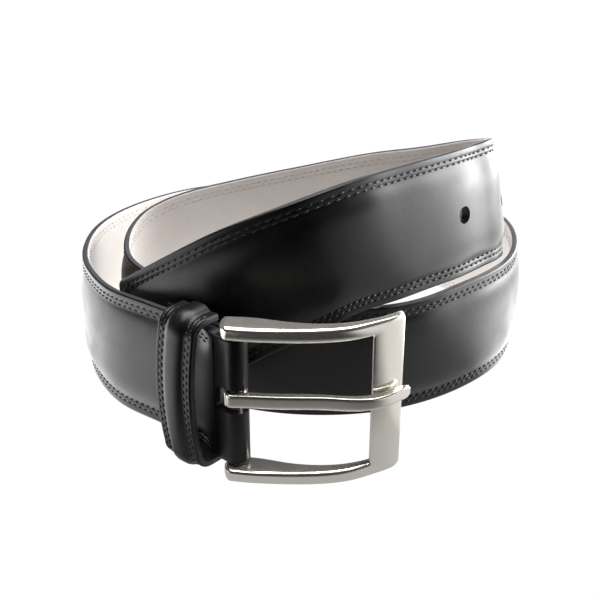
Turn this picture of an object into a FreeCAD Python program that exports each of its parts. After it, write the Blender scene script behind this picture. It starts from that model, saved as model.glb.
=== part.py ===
import FreeCAD, Part
import math
import os

# Leather dress belt, rolled into a loose coil and standing on its edge.
# Millimetres, +Z up, origin at the centre of the footprint on the floor.

V = FreeCAD.Vector

# Strap section
STRAP_WIDTH = 35.0
EDGE_THICK = 2.0        # at the flat stitched borders
LINING_THICK = 0.9
PAD_RISE = 1.9          # how far the padded middle stands above the borders
BORDER = 4.3            # flat border, outside
BORDER_SLOPE = 2.7      # width of the slope from border to padded middle
LEATHER_SHIFT = 0.5     # the filler's slope starts this much further in

# Seams
ROW_EDGE = 2.0          # edge row, from the strap's edge
ROW_INNER = 3.3         # inner row
THREAD_WIDTH = 0.7
THREAD_RISE = 0.2       # top thread above the face
BOBBIN_RISE = 0.1       # bobbin thread above the lining

# Punched holes and tip
HOLE_DIAMETER = 4.8
HOLE_PITCH = 23.0
HOLE_COUNT = 5
FIRST_HOLE_FROM_TIP = 109.0
TIP_POINT = 3.0         # how far the tip stands beyond its corners
TIP_FLAT = 17.0         # blunt width of the tip
CUTTER_MARGIN = 0.3     # how far a punch goes beyond the strap, short of the next turn

# Buckle
BAR_X, BAR_Y = -15.7, -61.9
BAR_RADIUS = 1.5
BAR_END_INSET = 1.0
RUNNING_FIT = 0.08
FRAME_HEIGHT = 43.5
ARM_HEIGHT = 3.7
WINDOW_END = 33.2       # window's far edge, from the bar
FRAME_CORNER = 1.5
PRONG_WIDTH = 2.9
PRONG_LOOP_WALL = 1.3
PRONG_Z = 23.0
SLOT_HEIGHT = 6.4

# Frame's side profile: distance along the buckle from the bar, distance out of the coil
FRAME_OUTER = [(-3.4, 4.3), (1.0, 5.2), (8.0, 5.9), (15.7, 6.1), (23.0, 5.6), (29.0, 4.1), (34.0, 1.6),
               (38.5, -1.1), (41.8, -3.9)]
FRAME_INNER = [(40.2, -5.6), (36.6, -2.9), (32.0, -0.6), (27.5, 0.9), (21.0, 1.6), (13.0, 0.6), (5.0, -1.7),
               (-3.4, -2.6)]
# Prong's side profile: its outer line from over the loop to the point, and its inner line back to the loop
PRONG_OUTER = [(-2.7, 1.6), (-1.2, 2.9), (2.0, 3.6), (6.0, 4.3), (13.0, 4.7), (22.0, 5.4), (29.0, 6.6),
               (34.5, 4.7), (39.5, 1.5), (43.2, -1.7)]
PRONG_INNER = [(42.6, -2.6), (40.6, -1.8), (38.4, -0.3), (34.0, 2.3), (29.2, 4.3), (22.0, 3.1), (13.0, 2.3),
               (6.0, 1.9), (2.2, 0.2)]

# Fold round the bar and turned-back end
FOLD_ANGLE = 139.0      # plan direction of the strap as it leaves the bar
FOLD_LEATHER = 1.6
FOLD_START = 4.5        # where the full strap section begins, from the bar
TURNBACK_LENGTH = 26.0
STRAP_LIFT = 4.25       # strap's lower edge at the bar
FACE_OFFSET = 1.33      # border face, from the bar's axis
SLOT_REACH = 3.9

# Keeper
KEEPER_START = 6.0
KEEPER_WIDTH = 12.5
KEEPER_HEIGHT = 44.0
KEEPER_FRONT = 11.0     # outer face, from the bar's axis
KEEPER_BACK = -1.2      # back of the strip behind the strap
KEEPER_BACK_GAP = 0.15  # from the lining to that strip, for the bobbin threads
KEEPER_SKIN = 1.1
KEEPER_LINING = 0.8
KEEPER_WALL = 3.0
KEEPER_SIDE_WALL = 2.4
KEEPER_BEND = 6.5
KEEPER_FILLER_WIDTH = 6.5
STAPLE_LENGTH = 9.0
STAPLE_WIDTH = 0.8
STAPLE_THICK = 0.35
KEEPER_ROWS = (1.2, 2.3)  # seam rows, from either edge of the keeper

TURNBACK_ROWS = (1.65, 4.15)  # seam rows, from the turned-back end
TURNBACK_ROW_INSET = 3.0    # from the strap's edges to the ends of those rows

SETTLING_ROUNDS = 8     # passes that let the strap's middle line and its section axes agree
FACE_SPANS = 12         # curve spans in one face of a ribbon

# Route of the strap, from the buckle to the tip: x, y, height and outward lean (degrees).
# The lower turns stand on the floor, so their stations give the lower edge.
LOWER_TURNS = [
    (-20.1, -59.9, 4.25, 0), (-30.3, -51.1, 4.25, 0), (-39.7, -42.9, 3.8, 0), (-50.2, -32.6, 2.6, 0),
    (-57.4, -21.4, 2.0, 0), (-62.9, -8, 1.5, 0), (-65.2, 6, 1.2, 0), (-64.6, 20.5, 1.0, 0), (-60.2, 34.2, 0.8, 0),
    (-51, 48.4, 0.5, 0), (-38, 60, 0.3, 0), (-20, 67, 0.1, 0), (2, 69, 0.1, 0), (24, 66.6, 0.1, 0),
    (44, 59.4, 0.1, 0), (58, 48, 0.1, 0), (66, 34, 0.1, 0), (67.7, 20, 0.1, 0), (66.2, 8, 0.1, 0),
    (61.8, -3, 0.1, 1), (54, -13, 0.1, 2), (43, -22.6, 0.1, 3), (29, -30.4, 0.1, 7), (17, -33.8, 0.1, 7),
    (4, -34.6, 0.1, 4), (-10, -32.6, 0.1, 3), (-22, -28.2, 0.1, 3), (-33, -22.2, 0.1, 2)]
# The second turn climbs above the first one: stations give the upper edge.
RAISED_TURN = [
    (-41.2, -16.6, 35.2, 1), (-47.0, -11.0, 35.6, 0), (-51.2, -3.8, 36.4, 0), (-52.9, 5.5, 37.6, 0),
    (-51.8, 15.6, 39.4, 0), (-47.4, 22, 41.8, -2), (-38.2, 26.4, 44.8, -4), (-25.5, 29.9, 47.2, -6),
    (-12.8, 31.5, 49.6, -7), (0, 31, 52.4, -8), (12.5, 28.4, 55.8, -8), (24.4, 23.6, 59.4, -8),
    (36.5, 18.6, 62.4, -8), (47.4, 14.2, 65.5, -8), (54.2, 9.4, 67.6, -9), (55.2, 4.2, 69.0, -9),
    (53.4, -1.2, 70.0, -10)]
# From there on the strap lies on the coil's front and comes down to the tip: stations give its middle line.
TIP_RUN = [
    (51.3, -8.4, 52.9, -10), (46.4, -14.2, 53.3, -10), (40, -20.6, 53.5, -10), (33.3, -26.4, 53.6, -9),
    (24.8, -33.4, 53.5, -8), (15.5, -40.3, 53.2, -5), (6, -45.2, 51.2, -3), (-4, -46.9, 47.5, -2),
    (-14, -46.1, 42.9, -1), (-24, -43, 36.5, 0), (-33, -38.4, 30, 0), (-43.4, -31.2, 21.7, 0)]


def plan_direction(degrees):
    angle = math.radians(degrees)
    return V(math.cos(angle), math.sin(angle), 0)


BAR = V(BAR_X, BAR_Y, 0)
ALONG = plan_direction(FOLD_ANGLE)                  # along the strap, away from the bar
OUTWARD = plan_direction(FOLD_ANGLE + 90)           # out of the strap's face
UP = V(0, 0, 1)


def at_fold(along, out, height):
    return BAR + ALONG * along + OUTWARD * out + UP * height


def spline(points, parameters):
    curve = Part.BSplineCurve()
    curve.interpolate(Points=points, Parameters=parameters)
    return curve


def chord_parameters(points):
    parameters = [0.0]
    for first, second in zip(points, points[1:]):
        parameters.append(parameters[-1] + first.distanceToPoint(second))
    return parameters


def section_axes(curve, parameter, lean):
    """Outward normal and width direction of the strap, leaned outward by `lean` degrees."""
    tangent = curve.tangent(parameter)[0]
    out = V(tangent.y, -tangent.x, 0).normalize() * -1
    up = tangent.cross(out).normalize()
    if up.z < 0:
        up = up * -1
    angle = math.radians(lean)
    width = up * math.cos(angle) + out * math.sin(angle)
    normal = out * math.cos(angle) - up * math.sin(angle)
    return normal, width


def strap_route():
    """Mid-width points on the border face, with their section axes."""
    given = [(V(x, y, z), lean, 0.5) for x, y, z, lean in LOWER_TURNS]
    given += [(V(x, y, z), lean, -0.5) for x, y, z, lean in RAISED_TURN]
    given += [(V(x, y, z), lean, 0.0) for x, y, z, lean in TIP_RUN]
    middle = [point + UP * STRAP_WIDTH * side for point, lean, side in given]
    for _ in range(SETTLING_ROUNDS):
        parameters = chord_parameters(middle)
        curve = spline(middle, parameters)
        axes = [section_axes(curve, parameters[i], given[i][1]) for i in range(len(given))]
        middle = [given[i][0] + axes[i][1] * STRAP_WIDTH * given[i][2] for i in range(len(given))]
    return middle, axes, chord_parameters(middle)


MIDDLE, AXES, PARAMETERS = strap_route()
LENGTH = PARAMETERS[-1]


def ruled_faces(first, second):
    """Faces between two rails that share their knots, each a few spans long so that it measures exactly."""
    surface = Part.BSplineSurface()
    surface.buildFromPolesMultsKnots([first.getPoles(), second.getPoles()], [2, 2], first.getMultiplicities(),
                                     [0, 1], first.getKnots(), False, False, 1, first.Degree)
    knots = first.getKnots()
    stops = knots[:-1:FACE_SPANS] + knots[-1:]
    faces = []
    for start, end in zip(stops, stops[1:]):
        piece = surface.copy()
        piece.segment(0, 1, start, end)
        faces.append(piece.toShape())
    return faces


def ribbon(section):
    """Closed solid that follows the strap. `section` lists (out, up from the lower edge) corners."""
    rails = []
    for out, up in section:
        points = [point + normal * out + width * (up - STRAP_WIDTH / 2)
                  for point, (normal, width) in zip(MIDDLE, AXES)]
        rails.append(spline(points, PARAMETERS))
    faces = []
    for rail, after in zip(rails, rails[1:] + rails[:1]):
        faces += ruled_faces(rail, after)
    for end in (0, -1):
        corners = [rail.value(PARAMETERS[end]) for rail in rails]
        faces.append(Part.Face(Part.makePolygon(corners + corners[:1])))
    shell = Part.makeCompound(faces)
    shell.sewShape()
    solid = Part.makeSolid(shell.Shells[0] if shell.Shells else shell)
    solid.fix(1e-4, 1e-5, 1e-4)
    if solid.Volume < 0:
        solid.reverse()
    return solid


def location_at(distance):
    """Point and axes on the strap at a distance along it."""
    curve = spline(MIDDLE, PARAMETERS)
    tangent = curve.tangent(distance)[0]
    nearest = min(range(len(PARAMETERS)), key=lambda i: abs(PARAMETERS[i] - distance))
    width = AXES[nearest][1]
    width = (width - tangent * width.dot(tangent)).normalize()
    normal = width.cross(tangent).normalize()
    if normal.dot(AXES[nearest][0]) < 0:
        normal = normal * -1
    return curve.value(distance), tangent, normal, width


def prism(corners, direction):
    return Part.Face(Part.makePolygon(corners + corners[:1])).extrude(direction)


def tip_cutters():
    """Two wedges that leave the strap's end as a blunt point."""
    point, tangent, normal, width = location_at(LENGTH)
    under = point - normal * (EDGE_THICK + CUTTER_MARGIN)
    cutters = []
    for side in (1, -1):
        beyond = width * (STRAP_WIDTH / 2 + CUTTER_MARGIN) * side
        corners = [under - tangent * TIP_POINT + width * STRAP_WIDTH / 2 * side,
                   under - tangent * TIP_POINT + beyond,
                   under + tangent * CUTTER_MARGIN + beyond,
                   under + tangent * CUTTER_MARGIN + width * TIP_FLAT / 2 * side,
                   under + width * TIP_FLAT / 2 * side]
        cutters.append(prism(corners, normal * (EDGE_THICK + PAD_RISE + 2 * CUTTER_MARGIN)))
    return cutters


def hole_cutters():
    cutters = []
    for i in range(HOLE_COUNT):
        point, tangent, normal, width = location_at(LENGTH - FIRST_HOLE_FROM_TIP - HOLE_PITCH * i)
        depth = EDGE_THICK + PAD_RISE + 2 * CUTTER_MARGIN
        cutters.append(Part.makeCylinder(HOLE_DIAMETER / 2, depth, point - normal * (EDGE_THICK + CUTTER_MARGIN),
                                         normal))
    return cutters


def prong_slot():
    corner = at_fold(-4, -5, PRONG_Z - SLOT_HEIGHT / 2)
    box = prism([corner, corner + ALONG * (4 + SLOT_REACH), corner + ALONG * (4 + SLOT_REACH) + OUTWARD * 10,
                 corner + OUTWARD * 10], UP * SLOT_HEIGHT)
    return box


def fold():
    """The face leather's end: round the bar and back along the inside of the strap."""
    inner = BAR_RADIUS + RUNNING_FIT
    outer = inner + FOLD_LEATHER
    z = STRAP_LIFT

    def half_turn(radius):
        return Part.Arc(at_fold(0, radius, z), at_fold(-radius, 0, z), at_fold(0, -radius, z)).toShape()

    def line(first, second):
        return Part.makeLine(at_fold(*first, z), at_fold(*second, z))
    wire = Part.Wire([
        line((FOLD_START, outer), (0, outer)), half_turn(outer),
        line((0, -outer), (TURNBACK_LENGTH, -outer)), line((TURNBACK_LENGTH, -outer), (TURNBACK_LENGTH, -inner)),
        line((TURNBACK_LENGTH, -inner), (0, -inner)), half_turn(inner),
        line((0, inner), (FOLD_START, inner)), line((FOLD_START, inner), (FOLD_START, outer))])
    return Part.Face(wire).extrude(UP * STRAP_WIDTH).cut(prong_slot())


def leather_section():
    base = LINING_THICK - EDGE_THICK
    rise = PAD_RISE + base
    near, far = BORDER, STRAP_WIDTH - BORDER
    slope = BORDER_SLOPE
    shift = LEATHER_SHIFT
    return [(base, 0), (base, near + shift), (rise, near + shift + slope), (rise, far - shift - slope),
            (base, far - shift), (base, STRAP_WIDTH), (0, STRAP_WIDTH), (0, far), (PAD_RISE, far - slope),
            (PAD_RISE, near + slope), (0, near), (0, 0)]


def filler_section():
    return leather_section()[1:5]


def lining_section():
    return [(-EDGE_THICK, 0), (-EDGE_THICK, STRAP_WIDTH), (LINING_THICK - EDGE_THICK, STRAP_WIDTH),
            (LINING_THICK - EDGE_THICK, 0)]


def strap_outer_leather():
    face = ribbon(leather_section()).cut(tip_cutters() + hole_cutters())
    return face.fuse(fold())


def strap_layer(section):
    return ribbon(section).cut(tip_cutters() + hole_cutters())


def seam(distance_from_bottom):
    """Top thread on the face and bobbin thread on the lining, as thin bands."""
    low = distance_from_bottom - THREAD_WIDTH / 2
    high = distance_from_bottom + THREAD_WIDTH / 2
    bands = []
    for base, rise in ((0.0, THREAD_RISE), (-EDGE_THICK - BOBBIN_RISE, BOBBIN_RISE)):
        band = ribbon([(base, low), (base, high), (base + rise, high), (base + rise, low)])
        bands.append(band.cut(tip_cutters()))
    return Part.makeCompound(bands)


def keeper_loop(front, back, low, high, bend, start, width):
    """Solid block with the keeper's outline between two offsets, rounded at the front corners."""
    corners = [at_fold(start, back, low), at_fold(start, front, low), at_fold(start, front, high),
               at_fold(start, back, high)]
    block = prism(corners, ALONG * width)
    rounded = [edge for edge in block.Edges
               if abs(abs(edge.tangentAt(edge.FirstParameter).dot(ALONG)) - 1) < 1e-6
               and (edge.CenterOfMass - BAR).dot(OUTWARD) > (front + back) / 2]
    return block.makeFillet(bend, rounded)


def keeper_layer(outset, thickness, start, width, back_wall):
    """One layer of the keeper: `outset` is its outer face's depth below the keeper's outside."""
    side = outset * KEEPER_SIDE_WALL / KEEPER_WALL
    side_thickness = thickness * KEEPER_SIDE_WALL / KEEPER_WALL
    outer = keeper_loop(KEEPER_FRONT - outset, KEEPER_BACK, side, KEEPER_HEIGHT - side, KEEPER_BEND - outset,
                        start, width)
    inset = outset + thickness
    inner_back = KEEPER_BACK + back_wall
    inner_side = side + side_thickness
    inner = keeper_loop(KEEPER_FRONT - inset, inner_back, inner_side, KEEPER_HEIGHT - inner_side,
                        KEEPER_BEND - inset, start - 1, width + 2)
    return outer.cut(inner)


STRAP_BACK = FACE_OFFSET - EDGE_THICK
BACK_STRIP = STRAP_BACK - KEEPER_BACK_GAP - KEEPER_BACK


def behind(solid, limit):
    """Cut away what lies behind `limit`, measured outward from the bar's axis."""
    corner = at_fold(-10, limit - 20, -10)
    block = prism([corner, corner + ALONG * 60, corner + ALONG * 60 + OUTWARD * 20, corner + OUTWARD * 20],
                  UP * 80)
    return solid.cut(block)


def keeper_outer_leather():
    return keeper_layer(0, KEEPER_SKIN, KEEPER_START, KEEPER_WIDTH, BACK_STRIP)


def keeper_filler():
    start = KEEPER_START + (KEEPER_WIDTH - KEEPER_FILLER_WIDTH) / 2
    thickness = KEEPER_WALL - KEEPER_SKIN - KEEPER_LINING
    return behind(keeper_layer(KEEPER_SKIN, thickness, start, KEEPER_FILLER_WIDTH, BACK_STRIP), STRAP_BACK)


def keeper_lining():
    outset = KEEPER_WALL - KEEPER_LINING
    return behind(keeper_layer(outset, KEEPER_LINING, KEEPER_START, KEEPER_WIDTH, BACK_STRIP), STRAP_BACK)


def keeper_seam(offsets):
    """Thread bands on the keeper's outer face, at distances from its buckle-side edge."""
    bands = []
    height = KEEPER_HEIGHT - 2 * KEEPER_BEND - 1
    for offset in offsets:
        corner = at_fold(KEEPER_START + offset - THREAD_WIDTH / 2, KEEPER_FRONT, KEEPER_BEND + 0.5)
        bands.append(prism([corner, corner + ALONG * THREAD_WIDTH,
                            corner + ALONG * THREAD_WIDTH + OUTWARD * THREAD_RISE, corner + OUTWARD * THREAD_RISE],
                           UP * height))
    return Part.makeCompound(bands)


def keeper_staple():
    """Flat wire staple behind the keeper, across its butt joint."""
    corner = at_fold(KEEPER_START + KEEPER_WIDTH / 2, KEEPER_BACK, (KEEPER_HEIGHT - STAPLE_LENGTH) / 2)
    return prism([corner, corner + ALONG * STAPLE_WIDTH, corner + ALONG * STAPLE_WIDTH - OUTWARD * STAPLE_THICK,
                  corner - OUTWARD * STAPLE_THICK], UP * STAPLE_LENGTH)


def turnback_seam():
    """Two rows across the turned-back end, on its inner face."""
    inner_face = -(BAR_RADIUS + RUNNING_FIT + FOLD_LEATHER)
    bands = []
    height = STRAP_WIDTH - 2 * TURNBACK_ROW_INSET
    for row in TURNBACK_ROWS:
        along = TURNBACK_LENGTH - row - THREAD_WIDTH / 2
        corner = at_fold(along, inner_face - THREAD_RISE, STRAP_LIFT + TURNBACK_ROW_INSET)
        bands.append(prism([corner, corner + ALONG * THREAD_WIDTH, corner + ALONG * THREAD_WIDTH
                            + OUTWARD * THREAD_RISE, corner + OUTWARD * THREAD_RISE], UP * height))
    return Part.makeCompound(bands)


def buckle_point(along, out, height):
    return BAR + V(along, -out, height)


def profile_face(outer, inner, height):
    """Closed side profile: a smooth outer line, a smooth inner line and straight ends."""
    first = [buckle_point(a, o, height) for a, o in outer]
    second = [buckle_point(a, o, height) for a, o in inner]
    curves = [spline(line, chord_parameters(line)).toShape() for line in (first, second)]
    ends = [Part.makeLine(first[-1], second[0]), Part.makeLine(second[-1], first[0])]
    return Part.Face(Part.Wire([curves[0], ends[0], curves[1], ends[1]]))


def buckle_frame():
    slab = profile_face(FRAME_OUTER, FRAME_INNER, 0).extrude(UP * FRAME_HEIGHT)
    window = Part.makeBox(WINDOW_END + 10, 40, FRAME_HEIGHT - 2 * ARM_HEIGHT, buckle_point(-10, 20, ARM_HEIGHT))
    frame = slab.cut(window)
    reach = FRAME_OUTER[-1][0]
    for height, side in ((0, 1), (FRAME_HEIGHT, -1)):
        frame = frame.cut(corner_tool(reach + 0.2, height, -1, side, FRAME_CORNER))
    bar_hole = Part.makeCylinder(BAR_RADIUS, FRAME_HEIGHT - 2 * BAR_END_INSET, BAR + UP * BAR_END_INSET, UP)
    return frame.cut(bar_hole)


def corner_tool(along, height, along_side, height_side, radius):
    """What to cut away to round a corner of the frame as seen from the front."""
    box = Part.makeBox(radius + 1, 60, radius + 1,
                       buckle_point(min(along + along_side * radius, along - along_side),
                                    30, min(height + height_side * radius, height - height_side)))
    centre = buckle_point(along + along_side * radius, 30, height + height_side * radius)
    return box.cut(Part.makeCylinder(radius, 60, centre, V(0, 1, 0)))


def buckle_bar():
    return Part.makeCylinder(BAR_RADIUS, FRAME_HEIGHT - 2 * BAR_END_INSET, BAR + UP * BAR_END_INSET, UP)


def prong():
    base = PRONG_Z - PRONG_WIDTH / 2
    bore = BAR_RADIUS + RUNNING_FIT
    loop = Part.makeCylinder(bore + PRONG_LOOP_WALL, PRONG_WIDTH, BAR + UP * base, UP)
    shank = profile_face(PRONG_OUTER, PRONG_INNER, base).extrude(UP * PRONG_WIDTH)
    return loop.fuse(shank).cut(Part.makeCylinder(bore, PRONG_WIDTH + 2, BAR + UP * (base - 1), UP))


# The belt is turned so that the strap leaves the buckle along -X, and its footprint is centred.
FOOTPRINT_MIDDLE = V(-5.95, 4.247, 0)

NODES = {
    "strap_outer_leather": strap_outer_leather,
    "strap_filler": lambda: strap_layer(filler_section()),
    "strap_lining": lambda: strap_layer(lining_section()),
    "seam_lower_edge_row": lambda: seam(ROW_EDGE),
    "seam_lower_inner_row": lambda: seam(ROW_INNER),
    "seam_upper_inner_row": lambda: seam(STRAP_WIDTH - ROW_INNER),
    "seam_upper_edge_row": lambda: seam(STRAP_WIDTH - ROW_EDGE),
    "turnback_seam": turnback_seam,
    "keeper_outer_leather": keeper_outer_leather,
    "keeper_filler": keeper_filler,
    "keeper_lining": keeper_lining,
    "keeper_staple": keeper_staple,
    "keeper_seam_buckle_side": lambda: keeper_seam(KEEPER_ROWS),
    "keeper_seam_tip_side": lambda: keeper_seam([KEEPER_WIDTH - row for row in KEEPER_ROWS]),
    "buckle_frame": buckle_frame,
    "buckle_bar": buckle_bar,
    "prong": prong,
}

os.makedirs("parts", exist_ok=True)
total = None
for name, make in NODES.items():
    shape = make().copy()
    shape.rotate(V(0, 0, 0), UP, 180 - FOLD_ANGLE)
    shape.translate(-FOOTPRINT_MIDDLE)
    shape.exportStep("parts/" + name + ".step")
    box = shape.BoundBox
    total = box if total is None else total.united(box)
    print(name, "valid", shape.isValid(), "solids", len(shape.Solids), "volume", round(shape.Volume, 1),
          "z", round(box.ZMin, 2), round(box.ZMax, 2))
print("box", [round(v, 2) for v in (total.XMin, total.XMax, total.YMin, total.YMax, total.ZMin, total.ZMax)])
print("middle", round((total.XMin + total.XMax) / 2, 3), round((total.YMin + total.YMax) / 2, 3))
print("strap length", round(LENGTH, 1))
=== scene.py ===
"""Looks of a rolled leather dress belt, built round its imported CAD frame. Metres, +Z up."""
import math

import bmesh
import bpy
import numpy as np
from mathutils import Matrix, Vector

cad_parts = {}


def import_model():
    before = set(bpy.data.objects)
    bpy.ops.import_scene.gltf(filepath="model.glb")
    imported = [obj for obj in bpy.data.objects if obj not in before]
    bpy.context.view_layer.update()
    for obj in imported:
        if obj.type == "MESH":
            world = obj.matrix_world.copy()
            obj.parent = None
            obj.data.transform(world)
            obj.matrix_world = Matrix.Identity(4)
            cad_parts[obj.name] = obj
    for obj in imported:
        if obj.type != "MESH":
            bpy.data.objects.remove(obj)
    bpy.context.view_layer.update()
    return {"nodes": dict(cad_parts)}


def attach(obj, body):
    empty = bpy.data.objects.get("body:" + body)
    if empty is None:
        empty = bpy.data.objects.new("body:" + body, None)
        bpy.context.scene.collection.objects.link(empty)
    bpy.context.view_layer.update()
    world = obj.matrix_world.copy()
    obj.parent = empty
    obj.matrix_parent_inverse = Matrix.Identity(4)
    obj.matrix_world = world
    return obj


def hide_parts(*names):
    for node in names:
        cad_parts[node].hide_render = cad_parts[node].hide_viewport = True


MM = 0.001

# Frame: the coil's stations are turned and centred the same way as the CAD parts
TURN = math.radians(41.0)
CENTRE = np.array([-5.95, 4.247])

# Strap section, millimetres
STRAP_WIDTH = 35.0
EDGE_THICK = 2.0
LINING_THICK = 0.9
PAD_RISE = 1.9
PAD_SHOWN = 1.45
PAD_START = 3.9
PAD_SLOPE = 7.5
EDGE_ROUND = 0.55
ROW_EDGE = 2.0
ROW_INNER = 3.3
ROW_DIP = 0.16
LAYER_GAP = 0.02
STITCH_PITCH = 2.35
STITCH_LENGTH = 1.75
THREAD_RADIUS = 0.26
HOLE_RADIUS = 2.4
HOLE_PITCH = 23.0
HOLE_COUNT = 5
FIRST_HOLE_FROM_TIP = 109.0
TIP_ROUND = 4.0         # length over which the tip's corners are rounded
TIP_BLUNT = 2.6         # exponent of the rounding: 2 is an ellipse, more is blunter

# Buckle, millimetres
BAR = np.array([-15.7, -61.9, 0.0])
BAR_RADIUS = 1.5
RUNNING_FIT = 0.08
FRAME_HEIGHT = 43.5
ARM_HEIGHT = 3.7
WINDOW_END = 33.2
FRAME_REACH = 41.2
FRAME_CORNER = 1.5
FRAME_INNER_CORNER = 0.5
FRAME_EDGE = 0.34
FRAME_CROWN = 0.45
ARM_END = -3.4
ARM_END_ROUND = 1.6
PRONG_WIDTH = 3.5
PRONG_START = -2.85
PRONG_END = 43.0
PRONG_LOOP_WALL = 1.3
PRONG_TAPER_START = 22
PRONG_TIP_ROUND = 1.4
PRONG_Z = 23.0
SLOT_HEIGHT = 6.4
FRAME_OUTER = [(-3.4, 4.3), (1.0, 5.2), (8.0, 5.9), (15.7, 6.1), (23.0, 5.6), (29.0, 4.1), (34.0, 1.6),
               (38.5, -1.1), (41.8, -3.9)]
FRAME_INNER = [(-3.4, -2.6), (5.0, -1.7), (13.0, 0.6), (21.0, 1.6), (27.5, 0.9), (32.0, -0.6), (36.6, -2.9),
               (40.2, -5.6)]
PRONG_OUTER = [(-3.0, 1.7), (-2.2, 3.3), (0.5, 3.9), (6.0, 4.3), (13.0, 4.7), (22.0, 4.9), (29.0, 5.5),
               (34.5, 4.7), (39.5, 1.5), (43.2, -1.7)]
PRONG_INNER = [(-3.0, 1.0), (-1.8, 1.65), (2.2, 1.5), (6.0, 1.9), (13.0, 2.3), (22.0, 2.8), (29.2, 3.4),
               (34.0, 2.3), (38.4, -0.3), (40.6, -1.8), (42.6, -2.6)]

# Fold round the bar, and keeper, millimetres
FOLD_ANGLE = math.radians(139.0)
FOLD_LEATHER = 1.6
FOLD_START = 4.5
FOLD_BLEND = 7.5
FOLD_EDGE = 0.45
SKIVE = 0.35            # share of its thickness that the turned-back leather loses towards its end
SKIVE_START = 8
SKIVE_LENGTH = 18
TURNBACK_LENGTH = 26.0
STRAP_LIFT = 4.25
SLOT_REACH = 3.9
KEEPER_START = 6.0
KEEPER_WIDTH = 12.5
KEEPER_HEIGHT = 44.0
KEEPER_FRONT = 11.0
KEEPER_BACK = -1.2
KEEPER_BOW = 1.5
KEEPER_BEND = 6.0
KEEPER_RISE = 1.1
KEEPER_ROWS = (1.2, 2.3)

# Route of the strap: x, y, height and outward lean in degrees. The outer turn and the start of the inner loop
# give the strap's lower edge, and the raised turn gives its upper edge.
LOWER_TURNS = [
    (-20.1, -59.9, 4.25, 0), (-30.3, -51.1, 4.25, 0), (-39.7, -42.9, 3.8, 0), (-50.2, -32.6, 2.6, 0),
    (-57.4, -21.4, 2.0, 0), (-62.9, -8, 1.5, 0), (-65.2, 6, 1.2, 0), (-64.6, 20.5, 1.0, 0),
    (-60.2, 34.2, 0.8, 0),
    (-51, 48.4, 0.5, 0), (-38, 60, 0.3, 0), (-20, 67, 0.1, 0), (2, 69, 0.1, 0), (24, 66.6, 0.1, 0),
    (44, 59.4, 0.1, 0), (58, 48, 0.1, 0), (66, 34, 0.1, 0), (67.7, 20, 0.1, 0), (66.2, 8, 0.1, 0),
    (61.8, -3, 0.1, 1), (54, -13, 0.1, 2), (43, -22.6, 0.1, 3), (29, -30.4, 0.1, 7), (17, -33.8, 0.1, 7),
    (4, -34.6, 0.1, 4), (-10, -32.6, 0.1, 3), (-22, -28.2, 0.1, 3), (-33, -22.2, 0.1, 2)]
RAISED_TURN = [
    (-41.2, -16.6, 35.2, 1), (-47.0, -11.0, 35.6, 0), (-51.2, -3.8, 36.4, 0), (-52.9, 5.5, 37.6, 0),
    (-51.8, 15.6, 39.4, 0), (-47.4, 22, 41.8, -2), (-38.2, 26.4, 44.8, -4), (-25.5, 29.9, 47.2, -6),
    (-12.8, 31.5, 49.6, -7), (0, 31, 52.4, -8), (12.5, 28.4, 55.8, -8), (24.4, 23.6, 59.4, -8),
    (36.5, 18.6, 62.4, -8), (47.4, 14.2, 65.5, -8), (54.2, 9.4, 67.6, -9), (55.2, 4.2, 69.0, -9),
    (53.4, -1.2, 70.0, -10)]
# From there on the strap lies on the coil's front and comes down to the tip: stations give its middle line.
TIP_RUN = [
    (51.3, -8.4, 52.9, -10), (46.4, -14.2, 53.3, -10), (40, -20.6, 53.5, -10), (33.3, -26.4, 53.6, -9),
    (24.8, -33.4, 53.5, -8), (15.5, -40.3, 53.2, -5), (6, -45.2, 51.2, -3), (-4, -46.9, 47.5, -2),
    (-14, -46.1, 42.9, -1), (-24, -43, 36.5, 0), (-33, -38.4, 30, 0), (-43.4, -31.2, 21.7, 0)]


# ---------------------------------------------------------------- curves and frames

def natural_spline(knots, values):
    """Function that evaluates the natural cubic spline through values at knots."""
    knots = np.asarray(knots, float)
    values = np.asarray(values, float)
    if values.ndim == 1:
        values = values[:, None]
    step = np.diff(knots)
    count = len(knots)
    system = np.zeros((count, count))
    right = np.zeros((count, values.shape[1]))
    system[0, 0] = system[-1, -1] = 1.0
    for i in range(1, count - 1):
        system[i, i - 1:i + 2] = step[i - 1], 2 * (step[i - 1] + step[i]), step[i]
        right[i] = 6 * ((values[i + 1] - values[i]) / step[i] - (values[i] - values[i - 1]) / step[i - 1])
    bend = np.linalg.solve(system, right)

    def at(where):
        where = np.atleast_1d(np.asarray(where, float))
        i = np.clip(np.searchsorted(knots, where) - 1, 0, count - 2)
        h = step[i][:, None]
        a = (knots[i + 1] - where)[:, None]
        b = (where - knots[i])[:, None]
        return (bend[i] * a ** 3 / (6 * h) + bend[i + 1] * b ** 3 / (6 * h)
                + (values[i] / h - bend[i] * h / 6) * a + (values[i + 1] / h - bend[i + 1] * h / 6) * b)
    return at


def lengths_along(points):
    return np.concatenate([[0.0], np.cumsum(np.linalg.norm(np.diff(points, axis=0), axis=1))])


def unit(vectors):
    return vectors / np.linalg.norm(vectors, axis=-1, keepdims=True)


def section_axes(curve, where, lean):
    """Outward normal and width direction at places along a curve, leaned outward."""
    small = 0.05
    tangent = unit(curve(where + small) - curve(where - small))
    out = unit(np.stack([-tangent[:, 1], tangent[:, 0], 0 * where], 1))
    up = unit(np.cross(tangent, out))
    up = up * np.sign(up[:, 2:3])
    c, s = np.cos(lean)[:, None], np.sin(lean)[:, None]
    return tangent, out * c - up * s, up * c + out * s


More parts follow.
